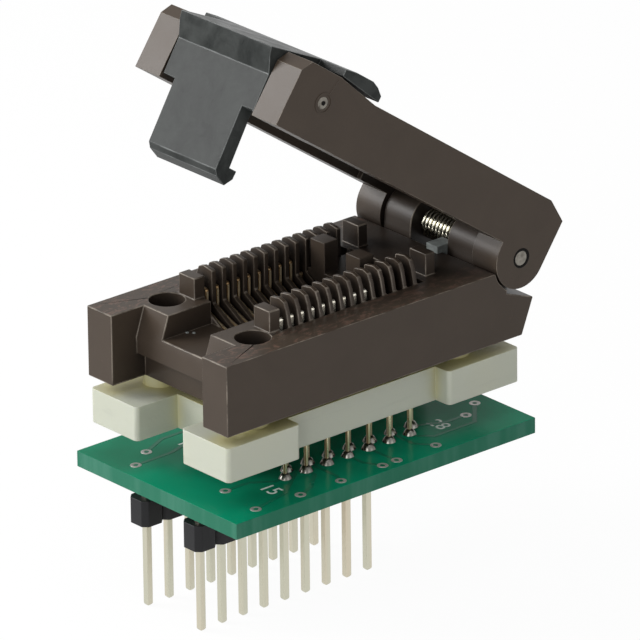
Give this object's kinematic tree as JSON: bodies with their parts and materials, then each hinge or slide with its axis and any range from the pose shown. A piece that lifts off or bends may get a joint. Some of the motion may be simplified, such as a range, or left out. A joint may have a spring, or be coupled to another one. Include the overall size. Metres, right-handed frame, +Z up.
{
  "type": "soic to dip adapter",
  "caption": "Clamshell test socket for small-outline packages on a green board that plugs into a dual in-line socket; hinged lid stands open and a sprung latch hangs from its front.",
  "frame": {"origin": "centre of the field of plug pins, in the plane of their tips", "axes": "+Z up out of the board, +X towards the lid's hinge, +Y towards the far long side"},
  "size_m": [0.0415, 0.0228, 0.0565],
  "materials": {
    "pin_gold": "pale gold plating, satin",
    "contact_gold": "gold plating, glossy",
    "header_black": "matt black moulding",
    "board_green": "green solder mask, satin gloss",
    "solder": "bright tin solder",
    "spacer_white": "greenish white moulding, satin",
    "socket_brown": "dark brown moulding, satin",
    "lid_brown": "dark brown moulding, satin",
    "pin_steel": "turned steel",
    "spring_steel": "bright drawn wire",
    "pad_black": "matt black moulding",
    "latch_black": "grey black moulding, glossy"
  },
  "bodies": {
    "base": {"plug_pin_1": "pin_gold", "plug_pin_2": "pin_gold", "plug_pin_3": "pin_gold", "plug_pin_4": "pin_gold", "plug_pin_5": "pin_gold", "plug_pin_6": "pin_gold", "plug_pin_7": "pin_gold", "plug_pin_8": "pin_gold", "plug_pin_9": "pin_gold", "plug_pin_10": "pin_gold", "plug_pin_11": "pin_gold", "plug_pin_12": "pin_gold", "plug_pin_13": "pin_gold", "plug_pin_14": "pin_gold", "plug_pin_15": "pin_gold", "plug_pin_16": "pin_gold", "plug_pin_17": "pin_gold", "plug_pin_18": "pin_gold", "header_near": "header_black", "header_far": "header_black", "circuit_board": "board_green", "solder_joints": "solder", "contact_1": "contact_gold", "contact_2": "contact_gold", "contact_3": "contact_gold", "contact_4": "contact_gold", "contact_5": "contact_gold", "contact_6": "contact_gold", "contact_7": "contact_gold", "contact_8": "contact_gold", "contact_9": "contact_gold", "contact_10": "contact_gold", "contact_11": "contact_gold", "contact_12": "contact_gold", "contact_13": "contact_gold", "contact_14": "contact_gold", "contact_15": "contact_gold", "contact_16": "contact_gold", "contact_17": "contact_gold", "contact_18": "contact_gold", "contact_19": "contact_gold", "contact_20": "contact_gold", "contact_21": "contact_gold", "contact_22": "contact_gold", "contact_23": "contact_gold", "contact_24": "contact_gold", "contact_25": "contact_gold", "contact_26": "contact_gold", "contact_27": "contact_gold", "contact_28": "contact_gold", "spacer_plate": "spacer_white", "socket_base": "socket_brown", "package_stop": "socket_brown", "hinge_pin": "pin_steel", "hinge_spring": "spring_steel"},
    "lid": {"socket_lid": "lid_brown", "pressure_pad": "pad_black", "latch_pin": "pin_steel", "latch_spring": "spring_steel"},
    "latch_arm": {"latch": "latch_black"}
  },
  "joints": [
    {"name": "lid_hinge", "type": "hinge", "parent": "base", "child": "lid", "pos_m": [0.02409, 0, 0.02947], "axis": [0, 1, 0], "range_deg": [-36.5, 74.5], "stiffness_Nm_per_rad": 0.02, "springref_deg": 1.6},
    {"name": "latch_pivot", "type": "hinge", "parent": "lid", "child": "latch_arm", "pos_m": [0.00019, 0, 0.05128], "axis": [0, 1, 0], "range_deg": [-5.5, 2.5], "stiffness_Nm_per_rad": 0.005}
  ]
}
